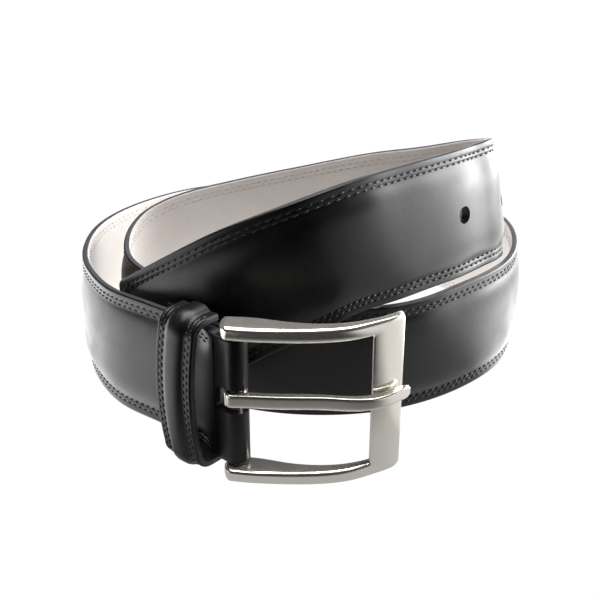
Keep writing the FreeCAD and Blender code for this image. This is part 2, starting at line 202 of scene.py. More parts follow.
class Route:
    """The strap's route: a place on it is (distance along, height across, distance out)."""

    def __init__(self):
        given = np.array(LOWER_TURNS + RAISED_TURN + TIP_RUN, float)
        side = np.repeat([0.5, -0.5, 0.0], [len(LOWER_TURNS), len(RAISED_TURN), len(TIP_RUN)])[:, None]
        lean = np.radians(given[:, 3])
        points = given[:, :3]
        middle = points + np.array([0, 0, STRAP_WIDTH]) * side
        for _ in range(8):
            where = lengths_along(middle)
            curve = natural_spline(where, middle)
            _, _, width = section_axes(curve, where, lean)
            middle = points + width * STRAP_WIDTH * side
        where = lengths_along(middle)
        curve = natural_spline(where, middle)
        _, normal, width = section_axes(curve, where, lean)
        self.length = where[-1]
        self.middle = curve
        self.normal = natural_spline(where, normal)
        self.width = natural_spline(where, width)

    def place(self, along, across, out):
        """Points on the strap. `across` runs from the lower edge; all are arrays of one shape."""
        shape = np.shape(along)
        s = np.ravel(along)
        s_in = np.clip(s, 0, self.length)
        start = unit(self.middle(0.3) - self.middle(0.0))
        base = self.middle(s_in) + start * np.minimum(s - s_in, 0)[:, None]
        out = np.ravel(out)[:, None]
        across = (np.ravel(across) - STRAP_WIDTH / 2)[:, None]
        points = base + self.normal(s_in) * out + self.width(s_in) * across
        return points.reshape(shape + (3,))


def to_row(points):
    """Coil millimetres to the row frame in metres."""
    points = np.asarray(points, float)
    c, s = math.cos(TURN), math.sin(TURN)
    x = c * points[..., 0] - s * points[..., 1] - CENTRE[0]
    y = s * points[..., 0] + c * points[..., 1] - CENTRE[1]
    return np.stack([x, y, points[..., 2]], -1) * MM


ALONG = np.array([math.cos(FOLD_ANGLE), math.sin(FOLD_ANGLE), 0])
OUTWARD = np.array([-math.sin(FOLD_ANGLE), math.cos(FOLD_ANGLE), 0])
ROUTE = Route()


def at_fold(along, out, height):
    along, out, height = (np.asarray(v, float)[..., None] for v in (along, out, height))
    return BAR + ALONG * along + OUTWARD * out + np.array([0, 0, 1.0]) * height


def at_buckle(along, out, height):
    along, out, height = (np.asarray(v, float)[..., None] for v in (along, out, height))
    return BAR + np.array([1.0, 0, 0]) * along + np.array([0, -1.0, 0]) * out + np.array([0, 0, 1.0]) * height


# ---------------------------------------------------------------- mesh helpers

def make_object(name, points, faces, material, body, uv=None, face_materials=None):
    """Mesh object from points in coil millimetres. `uv` is per point."""
    mesh = bpy.data.meshes.new(name)
    mesh.from_pydata(to_row(points).tolist(), [], faces)
    for one in material if isinstance(material, (list, tuple)) else [material]:
        mesh.materials.append(one)
    if face_materials is not None:
        mesh.polygons.foreach_set("material_index", np.asarray(face_materials, np.int32))
    if uv is not None:
        layer = mesh.uv_layers.new(name="along_across")
        index = np.zeros(len(mesh.loops), np.int32)
        mesh.loops.foreach_get("vertex_index", index)
        layer.data.foreach_set("uv", np.asarray(uv, float)[index].ravel())
    mesh.update()
    ob = bpy.data.objects.new(name, mesh)
    bpy.context.scene.collection.objects.link(ob)
    outward_normals(ob)
    soften(mesh)
    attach(ob, body)
    return ob


def soften(mesh):
    """Smooth shading with crisp corners."""
    mesh.polygons.foreach_set("use_smooth", np.ones(len(mesh.polygons), bool))
    mesh.set_sharp_from_angle(angle=math.radians(38))


def outward_normals(ob):
    bm = bmesh.new()
    bm.from_mesh(ob.data)
    bmesh.ops.remove_doubles(bm, verts=bm.verts, dist=1e-7)
    bmesh.ops.recalc_face_normals(bm, faces=bm.faces)
    bm.to_mesh(ob.data)
    bm.free()


def grid_faces(rows, columns, start=0, wrap_columns=False):
    faces = []
    for i in range(rows - 1):
        for j in range(columns if wrap_columns else columns - 1):
            a, b = i * columns + j, i * columns + (j + 1) % columns
            c, d = (i + 1) * columns + (j + 1) % columns, (i + 1) * columns + j
            faces.append((start + a, start + b, start + c, start + d))
    return faces


def loft(name, rings, material, body):
    """Skin over rings of points; each ring is closed and the ends are capped."""
    rings = np.asarray(rings)
    rows, columns = rings.shape[:2]
    faces = grid_faces(rows, columns, wrap_columns=True)
    faces.append(tuple(range(columns)))
    faces.append(tuple(range((rows - 1) * columns, rows * columns)))
    return make_object(name, rings.reshape(-1, 3), faces, material, body)


def cut_with(ob, cutters):
    """Exact boolean difference, applied."""
    for cutter in cutters:
        step = ob.modifiers.new("cut", "BOOLEAN")
        step.operation = "DIFFERENCE"
        step.solver = "EXACT"
        step.object = cutter
    graph = bpy.context.evaluated_depsgraph_get()
    mesh = bpy.data.meshes.new_from_object(ob.evaluated_get(graph))
    ob.modifiers.clear()
    ob.data = mesh
    soften(mesh)
    for cutter in cutters:
        bpy.data.objects.remove(cutter)


def plain_object(name, points, faces):
    mesh = bpy.data.meshes.new(name)
    mesh.from_pydata(to_row(points).tolist(), [], faces)
    ob = bpy.data.objects.new(name, mesh)
    bpy.context.scene.collection.objects.link(ob)
    outward_normals(ob)
    return ob


def smoothstep(x):
    x = np.clip(x, 0, 1)
    return x * x * (3 - 2 * x)


# ---------------------------------------------------------------- strap shape

def tip_half_width(along):
    """Half of the strap's width at a distance along it: full width, then a blunt rounded end."""
    left = np.maximum(ROUTE.length - along, 0)
    short = 1 - np.clip(left / TIP_ROUND, 0, 1)
    return STRAP_WIDTH / 2 * np.maximum(1 - short ** TIP_BLUNT, 1e-6) ** (1 / TIP_BLUNT)


def edge_distance(along, across):
    """Distance from the strap's outline, for places on the strap."""
    side = tip_half_width(along) - np.abs(across - STRAP_WIDTH / 2)
    return np.maximum(np.minimum(side, ROUTE.length - along), 0)


def rise_of_face(along, across):
    """Height of the leather's face above the flat border."""
    e = edge_distance(along, across)
    t = np.clip((e - PAD_START) / PAD_SLOPE, 0, 1)
    rise = PAD_SHOWN * (1 - (1 - t) ** 2.6)
    for row in (ROW_EDGE, ROW_INNER):
        rise = rise - ROW_DIP * np.exp(-((e - row) / 0.36) ** 2)
    short = 1 - np.clip(e / EDGE_ROUND, 0, 1)
    rise = rise - EDGE_ROUND * (1 - np.sqrt(np.clip(1 - short ** 2, 0, 1))) * 0.8
    flat = 1 - smoothstep(along / FOLD_BLEND)
    near_end = PAD_RISE - 0.5 * (1 - np.clip(e / 0.8, 0, 1)) ** 2
    return rise * (1 - flat) + near_end * flat


def across_places():
    """Places across the strap, from -1 to 1, closer together at the stitched borders."""
    half = STRAP_WIDTH / 2
    marks = [0, 0.06, 0.15, 0.3, 0.55, 0.9, 1.3, 1.6, 1.8, 2.0, 2.2, 2.45, 2.65, 2.85, 3.1, 3.3, 3.5, 3.75,
             4.0, 4.3, 4.7, 5.2, 5.8, 6.5, 7.3, 8.3, 9.6, 11.2, 13.2, 15.3, half]
    low = [m / half - 1 for m in marks]
    return np.array(low + [-v for v in low[-2::-1]])


def along_places(step=0.7):
    body = np.arange(0, ROUTE.length - 14, step)
    end = ROUTE.length - 14 * (1 - np.linspace(0, 1, 60)) ** 1.6
    return np.concatenate([body, end])


def layer_points(along, sides, out_of):
    """Grid of (along, across) and points for one face of a layer."""
    s, w = np.meshgrid(along, sides, indexing="ij")
    across = STRAP_WIDTH / 2 + w * tip_half_width(s)
    out = out_of(s, across)
    return s, across, ROUTE.place(s, across, out)


def slab(name, along, sides, top, bottom, materials):
    """Closed layer of the strap between two faces, with its cut edges in the second material."""
    s, v, upper = layer_points(along, sides, top)
    _, _, lower = layer_points(along, sides, bottom)
    rows, columns = s.shape
    count = rows * columns
    points = np.concatenate([upper.reshape(-1, 3), lower.reshape(-1, 3)])
    faces = grid_faces(rows, columns) + grid_faces(rows, columns, count)
    kinds = [0] * len(faces)
    border = [i * columns for i in range(rows)], [i * columns + columns - 1 for i in range(rows)]
    for line in border:
        for a, b in zip(line, line[1:]):
            faces.append((a, b, b + count, a + count))
            kinds.append(1)
    for row in (0, rows - 1):
        for j in range(columns - 1):
            a = row * columns + j
            faces.append((a, a + 1, a + 1 + count, a + count))
            kinds.append(1)
    uv = np.stack([s.ravel(), v.ravel()], 1) * MM
    uv = np.concatenate([uv, uv])
    return make_object(name, points, faces, materials, "strap", uv=uv, face_materials=kinds)


def ripple(along, across, size, seed):
    """Slow unevenness of the leather, in millimetres."""
    rng = np.random.default_rng(seed)
    total = np.zeros(np.shape(along))
    for _ in range(10):
        fx, fy = rng.uniform(-0.28, 0.28), rng.uniform(-0.25, 0.25)
        total = total + np.sin(along * fx + across * fy + rng.uniform(0, 6.28))
    return total * size / 10


def strap_face(along, across):
    fade = smoothstep(edge_distance(along, across) / 4)
    return rise_of_face(along, across) + ripple(along, across, 0.10, 3) * fade


def hole_cutters(name):
    cutters = []
    turn = np.linspace(0, 2 * math.pi, 40, endpoint=False)
    for i in range(HOLE_COUNT):
        s = ROUTE.length - FIRST_HOLE_FROM_TIP - HOLE_PITCH * i
        rings = [ROUTE.place(s + HOLE_RADIUS * np.cos(turn), STRAP_WIDTH / 2 + HOLE_RADIUS * np.sin(turn),
                             np.full(turn.shape, out)) for out in (-2.5, 2.4)]
        rings = np.array(rings)
        faces = grid_faces(2, 40, wrap_columns=True) + [tuple(range(40)), tuple(range(40, 80))]
        cutters.append(plain_object(name + str(i), rings.reshape(-1, 3), faces))
    return cutters


def build_strap(mats):
    along = along_places()
    sides = across_places()
    base = LINING_THICK - EDGE_THICK
    face = slab("strap_face_leather", along, sides, strap_face, lambda s, v: np.full(s.shape, base),
                [mats["leather"], mats["edge"]])
    cut_with(face, hole_cutters("hole_face"))
    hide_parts("strap_outer_leather", "strap_filler")

    def lining_back(s, v):
        e = edge_distance(s, v)
        rounding = 0.35 * (1 - np.clip(e / 0.5, 0, 1)) ** 2
        dips = sum(0.07 * np.exp(-((e - row) / 0.3) ** 2) for row in (ROW_EDGE, ROW_INNER))
        return -EDGE_THICK + rounding + dips + ripple(s, v, 0.05, 8) * smoothstep(e / 3)

    def lining_front(s, v):
        return np.full(s.shape, base - LAYER_GAP)
    lining = slab("strap_lining_leather", along, sides, lining_front, lining_back,
                  [mats["lining"], mats["edge"]])
    cut_with(lining, hole_cutters("hole_lining"))
    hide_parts("strap_lining")


def capsule(length, radius):
    """One stitch: a short thread with pulled-in ends, along x, lying on z = 0."""
    rings = []
    around = np.linspace(0, 2 * math.pi, 8, endpoint=False)
    for t in np.linspace(-1, 1, 7):
        r = radius * math.sqrt(max(1 - abs(t) ** 3.2, 0.03))
        x = t * length / 2
        sink = -radius * 1.1 * abs(t) ** 3 + radius * 0.35
        rings.append(np.stack([np.full(8, x), r * np.cos(around), sink + r * 0.9 * np.sin(around)], 1))
    rings = np.array(rings)
    faces = grid_faces(7, 8, wrap_columns=True) + [tuple(range(8)), tuple(range(48, 56))]
    return rings.reshape(-1, 3), faces


def stitches(name, centres, along_axes, out_axes, mat, slant=0.0, length=STITCH_LENGTH,
             radius=THREAD_RADIUS, seed=1):
    """Separate stitches laid along a seam, joined in one mesh."""
    rng = np.random.default_rng(seed)
    shape, faces = capsule(1.0, 1.0)
    side_axes = np.cross(out_axes, along_axes)
    points, all_faces = [], []
    for i, (c, a, o, w) in enumerate(zip(centres, along_axes, out_axes, side_axes)):
        tilt = slant + rng.normal(0, 0.05)
        d = a * math.cos(tilt) + w * math.sin(tilt)
        e = -a * math.sin(tilt) + w * math.cos(tilt)
        long = length * (1 + rng.normal(0, 0.04))
        points.append(c + shape[:, :1] * d * long + shape[:, 1:2] * e * radius + shape[:, 2:3] * o * radius)
        all_faces += [tuple(v + i * len(shape) for v in f) for f in faces]
    return make_object(name, np.concatenate(points), all_faces, mat, "strap")


def row_path(row, upper):
    """Places (along, across) of one seam row, which follows the outline to the middle of the tip."""
    finest = 0.02
    s = np.arange(2.0, ROUTE.length - row, finest)
    half = (tip_half_width(s + row) / (STRAP_WIDTH / 2)) * (STRAP_WIDTH / 2 - row)
    across_tip = np.linspace(half[-1], 0, 40)
    s = np.concatenate([s, np.full(40, s[-1])])
    half = np.concatenate([half, across_tip])
    across = STRAP_WIDTH / 2 + (half if upper else -half)
    length = lengths_along(np.stack([s, across], 1))
    marks = np.arange(0.5, length[-1] - 0.4, STITCH_PITCH)
    return np.interp(marks, length, s), np.interp(marks, length, across)


def surface_axes(s, v, out_of):
    step = 0.25
    centre = ROUTE.place(s, v, out_of(s, v))
    ahead = ROUTE.place(s + step, v, out_of(s + step, v)) - ROUTE.place(s - step, v, out_of(s - step, v))
    side = ROUTE.place(s, v + step, out_of(s, v)) - ROUTE.place(s, v - step, out_of(s, v))
    out = ROUTE.place(s, v, out_of(s, v) + step) - ROUTE.place(s, v, out_of(s, v) - step)
    return centre, unit(ahead), unit(side), unit(out)


def back_of_lining(along, across):
    return np.full(np.shape(along), -EDGE_THICK + LAYER_GAP)


def build_seams(mats):
    rows = {"seam_lower_edge_row": (ROW_EDGE, False), "seam_lower_inner_row": (ROW_INNER, False),
            "seam_upper_inner_row": (ROW_INNER, True), "seam_upper_edge_row": (ROW_EDGE, True)}
    for number, (node, (row, upper)) in enumerate(rows.items()):
        s, v = row_path(row, upper)
        s = s + (STITCH_PITCH * 0.5 if row == ROW_INNER else 0)
        heading = np.gradient(v) / np.maximum(np.gradient(s), 1e-3)
        for side, depth in (("top", None), ("bobbin", -EDGE_THICK)):
            out_of = rise_of_face if depth is None else back_of_lining
            centre, ahead, across, out = surface_axes(s, v, out_of)
            direction = unit(ahead + across * heading[:, None])
            if depth is not None:
                out = -out
            mat = mats["thread"] if depth is None else mats["bobbin"]
            ob = stitches(node + "_" + side, centre + out * 0.02, direction, out, mat,
                          slant=0.16 if depth is None else -0.1,
                          length=STITCH_LENGTH if depth is None else 1.25,
                          radius=THREAD_RADIUS if depth is None else 0.13, seed=number)
            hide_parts(node)


# ---------------------------------------------------------------- fold round the bar

def build_fold(mats):
    """The face leather's end: outer leg, half turn round the bar, turned-back leg."""
    inner = BAR_RADIUS + RUNNING_FIT
    mid = inner + FOLD_LEATHER / 2
    path = [(FOLD_START * (1 - t), mid, 0.0, 1.0) for t in np.linspace(0, 0.9, 5)]
    path += [(-mid * math.sin(a), mid * math.cos(a), -math.sin(a), math.cos(a))
             for a in np.linspace(0, math.pi, 25)]
    path += [(t, -mid, 0.0, -1.0) for t in np.linspace(1, TURNBACK_LENGTH, 24)]
    rings = []
    half = FOLD_LEATHER / 2
    low, high = STRAP_LIFT + FOLD_EDGE, STRAP_LIFT + STRAP_WIDTH - FOLD_EDGE
    for t, w, nt, nw in path:
        thin = half * (1.0 if t < SKIVE_START else 1 - SKIVE * min((t - SKIVE_START) / SKIVE_LENGTH, 1))
        # round the section: top edge, front from top to bottom, bottom edge, back from bottom to top
        section = [(math.cos(a), high + FOLD_EDGE * math.sin(a)) for a in np.linspace(math.pi, 0, 7)]
        section += [(1.0, z) for z in np.linspace(high, low, 24)[1:-1]]
        section += [(math.cos(a), low - FOLD_EDGE * math.sin(a)) for a in np.linspace(0, math.pi, 7)]
        section += [(-1.0, z) for z in np.linspace(low, high, 24)[1:-1]]
        rings.append([at_fold(t + nt * side * thin, w + nw * side * thin, z) for side, z in section])
    fold = loft("strap_fold", np.array(rings), mats["fold"], "strap")
    turn = np.linspace(0, 2 * math.pi, 32, endpoint=False)
    half_slot = SLOT_HEIGHT / 2
    ends = []
    for out in (-5.0, 5.0):
        t = -1.0 + (SLOT_REACH + 1.0) * np.sign(np.cos(turn)) * np.abs(np.cos(turn)) ** 0.4
        t = np.where(np.cos(turn) < 0, -6.0, t)
        z = PRONG_Z - 0.6 + half_slot * np.sign(np.sin(turn)) * np.abs(np.sin(turn)) ** 0.4
        ends.append(at_fold(t, np.full(32, out), z))
    faces = grid_faces(2, 32, wrap_columns=True) + [tuple(range(32)), tuple(range(32, 64))]
    cutter = plain_object("slot_cutter", np.array(ends).reshape(-1, 3), faces)
    cut_with(fold, [cutter])
    return fold


def build_turnback_seam(mats):
    inner_face = -(BAR_RADIUS + RUNNING_FIT + FOLD_LEATHER * 0.85)
    z = np.arange(STRAP_LIFT + 3, STRAP_LIFT + STRAP_WIDTH - 3, STITCH_PITCH)
    centres = np.concatenate([at_fold(np.full(z.shape, t), np.full(z.shape, inner_face), z)
                              for t in (TURNBACK_LENGTH - 1.7, TURNBACK_LENGTH - 4.2)])
    ob = stitches("turnback_seam_stitches", centres, np.tile([0, 0, 1.0], (len(centres), 1)),
                  np.tile(-OUTWARD, (len(centres), 1)), mats["thread"], seed=9)
    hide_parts("turnback_seam")


# ---------------------------------------------------------------- keeper

def keeper_path(depth):
    """Closed loop of (out, height) round the keeper, `depth` inside its outer face."""
    front = KEEPER_FRONT - depth
    low, high = depth, KEEPER_HEIGHT - depth
    bend = KEEPER_BEND - depth * 0.8
    back = KEEPER_BACK + min(depth, 0.5)
    points = [(back, low), (0.5, low)]
    for a in np.linspace(-math.pi / 2, 0, 14):
        points.append((front - KEEPER_BOW - bend + bend * math.cos(a), low + bend + bend * math.sin(a)))
    for t in np.linspace(0, 1, 15)[1:-1]:
        z = low + bend + (high - low - 2 * bend) * t
        points.append((front - KEEPER_BOW * (2 * t - 1) ** 2, z))
    for a in np.linspace(0, math.pi / 2, 14):
        points.append((front - KEEPER_BOW - bend + bend * math.cos(a), high - bend + bend * math.sin(a)))
    points += [(0.5, high), (back, high)]
    return np.array(points)


def resample(points, count):
    where = lengths_along(points)
    even = np.linspace(0, where[-1], count)
    return np.stack([np.interp(even, where, points[:, k]) for k in range(points.shape[1])], 1)


def keeper_rise(e):
    t = np.clip((e - 2.9) / 2.6, 0, 1)
    rise = KEEPER_RISE * (1 - (1 - t) ** 2.2)
    for row in KEEPER_ROWS:
        rise = rise - 0.12 * np.exp(-((e - row) / 0.3) ** 2)
    return rise - 0.5 * (1 - np.clip(e / 0.5, 0, 1)) ** 2


def keeper_grid(depth_of, count=150):
    """Points over the keeper's open band; depth_of(place across) is measured below the outer face."""
    across = np.array([0, 0.08, 0.2, 0.4, 0.7, 0.95, 1.2, 1.45, 1.75, 2.05, 2.3, 2.55, 2.85, 3.2, 3.7, 4.3,
                       5.1])
    across = np.concatenate([across, [KEEPER_WIDTH / 2], (KEEPER_WIDTH - across)[::-1]])
    base = resample(keeper_path(KEEPER_RISE), count)
    tangent = unit(np.gradient(base, axis=0))
    normal = np.stack([tangent[:, 1], -tangent[:, 0]], 1)
    grid = []
    for t in across:
        lift = depth_of(min(t, KEEPER_WIDTH - t))
        out = base + normal * lift
        height = np.clip(out[:, 1], 0.02, KEEPER_HEIGHT)
        grid.append(at_fold(np.full(count, KEEPER_START + t), out[:, 0], height))
    return np.array(grid), across, base, normal


def build_keeper(mats):
    upper, across, base, normal = keeper_grid(lambda e: float(keeper_rise(np.array(e))))
    lower, _, _, _ = keeper_grid(lambda e: -0.85)
    rows, columns = upper.shape[:2]

    def closed(name, top, bottom, mat):
        count = rows * columns
        faces = grid_faces(rows, columns) + grid_faces(rows, columns, count)
        kinds = [0] * len(faces)
        for line in ([j for j in range(columns)], [(rows - 1) * columns + j for j in range(columns)]):
            for a, b in zip(line, line[1:]):
                faces.append((a, b, b + count, a + count))
                kinds.append(1)
        for column in (0, columns - 1):
            for i in range(rows - 1):
                a, b = i * columns + column, (i + 1) * columns + column
                faces.append((a, b, b + count, a + count))
                kinds.append(1)
        points = np.concatenate([top.reshape(-1, 3), bottom.reshape(-1, 3)])
        uv_s = np.tile(lengths_along(base), rows)
        uv = np.stack([uv_s, np.repeat(across, columns)], 1) * MM
        return make_object(name, points, faces, mat, "strap", uv=np.concatenate([uv, uv]),
                           face_materials=kinds)
    face = closed("keeper_face_leather", upper, lower, [mats["leather"], mats["keeper_edge"]])
    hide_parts("keeper_outer_leather", "keeper_filler")
    inside_top, _, _, _ = keeper_grid(lambda e: -0.87)
    inside_bottom, _, _, _ = keeper_grid(lambda e: -1.65)
    lining = closed("keeper_inside", inside_top, inside_bottom, [mats["keeper_lining"], mats["keeper_edge"]])
    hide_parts("keeper_lining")
    edge, inner = KEEPER_ROWS
    seam_rows = {"keeper_seam_buckle_side": (edge, inner),
                 "keeper_seam_tip_side": (KEEPER_WIDTH - inner, KEEPER_WIDTH - edge)}
    where = lengths_along(base)
    for node, offsets in seam_rows.items():
        centres, alongs, outs = [], [], []
        for k, t in enumerate(offsets):
            marks = np.arange(3.0 + k * 0.9, where[-1] - 3.0, 1.9)
            place = np.stack([np.interp(marks, where, base[:, i]) for i in (0, 1)], 1)
            nrm = unit(np.stack([np.interp(marks, where, normal[:, i]) for i in (0, 1)], 1))
            tangent = np.stack([-nrm[:, 1], nrm[:, 0]], 1)
            lift = float(keeper_rise(np.array(min(t, KEEPER_WIDTH - t)))) + 0.02
            place = place + nrm * lift
            centres.append(at_fold(np.full(len(marks), KEEPER_START + t), place[:, 0], place[:, 1]))
            alongs.append(OUTWARD * tangent[:, :1] + np.array([0, 0, 1.0]) * tangent[:, 1:])
            outs.append(OUTWARD * nrm[:, :1] + np.array([0, 0, 1.0]) * nrm[:, 1:])
        ob = stitches(node + "_stitches", np.concatenate(centres), np.concatenate(alongs),
                      np.concatenate(outs), mats["thread"], slant=0.2, length=1.4, radius=0.2,
                      seed=20)
        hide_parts(node)


# ---------------------------------------------------------------- buckle

def profile_function(points):
    points = np.array(points, float)
    where = lengths_along(points)
    curve = natural_spline(where, points)
    fine = curve(np.linspace(0, where[-1], 400))
    return lambda p: np.interp(p, fine[:, 0], fine[:, 1])


def rounded_square(count_side=7, corner=0.34, bevel_points=6):
    """Section of the frame in (across, through), each from -1 to 1, with rounded edges."""
    ring = []
    for cx, cy, start in ((1, 1, 0), (-1, 1, 90), (-1, -1, 180), (1, -1, 270)):
        for k in range(bevel_points):
            a = math.radians(start + 90 * k / (bevel_points - 1))
            ring.append((cx * (1 - corner) + corner * math.cos(a), cy * (1 - corner) + corner * math.sin(a)))
        nxt = {0: (-1, 0), 90: (0, -1), 180: (1, 0), 270: (0, 1)}[start]
        x, y = ring[-1]
        for k in range(1, count_side):
            f = 2 * (1 - corner) * k / count_side
            ring.append((x + nxt[0] * f, y + nxt[1] * f))
    return np.array(ring)


def corner_outline(inner, outer):
    """Pairs of (inner, outer) outline points from the upper arm round the corner to the far bar."""
    inner_corner = np.array([WINDOW_END, FRAME_HEIGHT - ARM_HEIGHT])
    outer_corner = np.array([FRAME_REACH, FRAME_HEIGHT])
    turn = np.linspace(0, math.pi / 2, 9)
    arc = np.stack([np.sin(turn), np.cos(turn)], 1)
    outline = np.concatenate([[[WINDOW_END - FRAME_INNER_CORNER, FRAME_HEIGHT]],
                              outer_corner - FRAME_CORNER + arc * FRAME_CORNER,
                              [[FRAME_REACH, FRAME_HEIGHT - ARM_HEIGHT - FRAME_INNER_CORNER]]])
    outline = resample(outline, 26)
    swing = np.linspace(0, math.pi / 2, 26)
    swept = np.stack([np.sin(swing), np.cos(swing)], 1)
    inside = inner_corner - FRAME_INNER_CORNER + FRAME_INNER_CORNER * swept
    inner.extend(inside)
    outer.extend(outline)


def build_frame(mats):
    """C-shaped frame: upper arm, nearly square corner, far bar, and the same mirrored."""
    outer_at = profile_function(FRAME_OUTER)
    inner_at = profile_function(FRAME_INNER)
    inner, outer = [], []
    for p in ARM_END + (WINDOW_END - FRAME_INNER_CORNER - ARM_END) * np.linspace(0, 1, 70)[:-1] ** 1.3:
        inner.append((p, FRAME_HEIGHT - ARM_HEIGHT))
        outer.append((p, FRAME_HEIGHT))
    corner_outline(inner, outer)
    for z in np.linspace(FRAME_HEIGHT - ARM_HEIGHT - FRAME_INNER_CORNER, FRAME_HEIGHT / 2, 30)[1:]:
        inner.append((WINDOW_END, z))
        outer.append((FRAME_REACH, z))
    inner, outer = np.array(inner), np.array(outer)
    mirror = np.array([1, -1]), np.array([0, FRAME_HEIGHT])
    inner = np.concatenate([inner, inner[-2::-1] * mirror[0] + mirror[1]])
    outer = np.concatenate([outer, outer[-2::-1] * mirror[0] + mirror[1]])
    ring = rounded_square(corner=FRAME_EDGE)
    arm = ARM_HEIGHT / 2
    rings = []
    for near, away in zip(inner, outer):
        half = np.linalg.norm(away - near) / 2
        # rounding is the same in millimetres however wide the section is
        wide = FRAME_EDGE * arm / half
        flat = 1 - FRAME_EDGE
        size = np.abs(ring[:, 0])
        edge = np.clip((size - flat) / FRAME_EDGE, 0, 1)
        a = np.sign(ring[:, 0]) * (np.clip(size / flat, 0, 1) * (1 - wide) + edge * wide)
        # the arms' free ends are rounded over
        gone = 1 - min((near[0] - ARM_END) / ARM_END_ROUND, 1)
        full = max(math.sqrt(1 - gone * gone), 0.25)
        place = (near + away) / 2 + (away - near) / 2 * (a * (0.35 + 0.65 * full))[:, None]
        pp = np.clip(place[:, 0], ARM_END, FRAME_REACH)
        out, inn = outer_at(pp), inner_at(np.minimum(pp, FRAME_INNER[-1][0]))
        through = 0.5 + ring[:, 1] * 0.5 * full
        crown = FRAME_CROWN * a * a * (ring[:, 1] > 0)
        rings.append(at_buckle(pp, inn + (out - inn) * through - crown, place[:, 1]))
    ob = loft("buckle_frame_polished", np.array(rings), mats["nickel"], "buckle")
    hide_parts("buckle_frame")
    return ob


def build_prong(mats):
    outer_at = profile_function(PRONG_OUTER)
    inner_at = profile_function(PRONG_INNER)
    ring = rounded_square(count_side=5, corner=0.36)
    half = PRONG_WIDTH / 2
    rings = []
    for t in np.linspace(0, 1, 90):
        p_out = PRONG_START + (PRONG_END - PRONG_START) * t
        end = max(0.0, (p_out - (PRONG_END - PRONG_TIP_ROUND)) / PRONG_TIP_ROUND)
        narrow = 1 - 0.10 * smoothstep((p_out - PRONG_TAPER_START) / 20) - 0.45 * end ** 2.2
        out, inn = outer_at(p_out), inner_at(min(p_out, 42.5))
        mid, thick = (out + inn) / 2, (out - inn) / 2 * (1 - 0.5 * end ** 2)
        rings.append(at_buckle(np.full(len(ring), p_out), mid + thick * ring[:, 1],
                               PRONG_Z + half * narrow * ring[:, 0]))
    shank = loft("prong_shank", np.array(rings), mats["nickel"], "prong")
    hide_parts("prong")
    bore = BAR_RADIUS + RUNNING_FIT
    wall = PRONG_LOOP_WALL / 2
    loop = []
    for a in np.linspace(math.radians(28), math.radians(352), 64):
        centre = (bore + wall) * np.array([math.cos(a), math.sin(a)])
        radial = np.array([math.cos(a), math.sin(a)])
        spot = centre[None, :] + radial[None, :] * (ring[:, 1:2] * wall)
        loop.append(at_buckle(spot[:, 0], spot[:, 1], PRONG_Z + half * ring[:, 0]))
    loft("prong_loop", np.array(loop), mats["nickel"], "prong")


# ---------------------------------------------------------------- materials

def new_material(name):
    mat = bpy.data.materials.new(name)
    mat.use_nodes = True
    nodes = mat.node_tree.nodes
    return mat, nodes, mat.node_tree.links, nodes["Principled BSDF"]


def noise(nodes, links, coordinates, scale, detail=4.0, rough=0.55):
    node = nodes.new("ShaderNodeTexNoise")
    node.inputs["Scale"].default_value = scale
    node.inputs["Detail"].default_value = detail
    node.inputs["Roughness"].default_value = rough
    links.new(coordinates, node.inputs["Vector"])
    return node


def ramp(nodes, links, value, low, high, start=(0, 0, 0, 1), end=(1, 1, 1, 1)):
    node = nodes.new("ShaderNodeValToRGB")
    node.color_ramp.elements[0].position = low
    node.color_ramp.elements[1].position = high
    node.color_ramp.elements[0].color = start
    node.color_ramp.elements[1].color = end
    links.new(value, node.inputs["Fac"])
    return node.outputs["Color"]


def bump(nodes, links, height, strength, distance, normal=None):
    node = nodes.new("ShaderNodeBump")
    node.inputs["Strength"].default_value = strength
    node.inputs["Distance"].default_value = distance
    links.new(height, node.inputs["Height"])
    if normal is not None:
        links.new(normal, node.inputs["Normal"])
    return node.outputs["Normal"]


def polished_leather(name, base, roughness, coat):
    mat, nodes, links, shader = new_material(name)
    place = nodes.new("ShaderNodeTexCoord").outputs["Object"]
    grain = nodes.new("ShaderNodeTexVoronoi")
    grain.inputs["Scale"].default_value = 2600
    grain.feature = "SMOOTH_F1"
    links.new(place, grain.inputs["Vector"])
    cloud = noise(nodes, links, place, 120, 5)
    fine = noise(nodes, links, place, 900, 6)
    rough = ramp(nodes, links, cloud.outputs["Fac"], 0.3, 0.75, (roughness * 0.85,) * 3 + (1,),
                 (roughness * 1.25,) * 3 + (1,))
    links.new(rough, shader.inputs["Roughness"])
    pale = tuple(c * 1.7 for c in base)
    colour = ramp(nodes, links, fine.outputs["Fac"], 0.35, 0.7, base + (1,), pale + (1,))
    links.new(colour, shader.inputs["Base Color"])
    first = bump(nodes, links, grain.outputs["Distance"], 0.10, 0.00012)
    second = bump(nodes, links, cloud.outputs["Fac"], 0.12, 0.0004, first)
    third = bump(nodes, links, fine.outputs["Fac"], 0.06, 0.0001, second)
    links.new(third, shader.inputs["Normal"])
    shader.inputs["Coat Weight"].default_value = coat
    shader.inputs["Coat Roughness"].default_value = 0.12
    shader.inputs["Specular IOR Level"].default_value = 0.34
    return mat


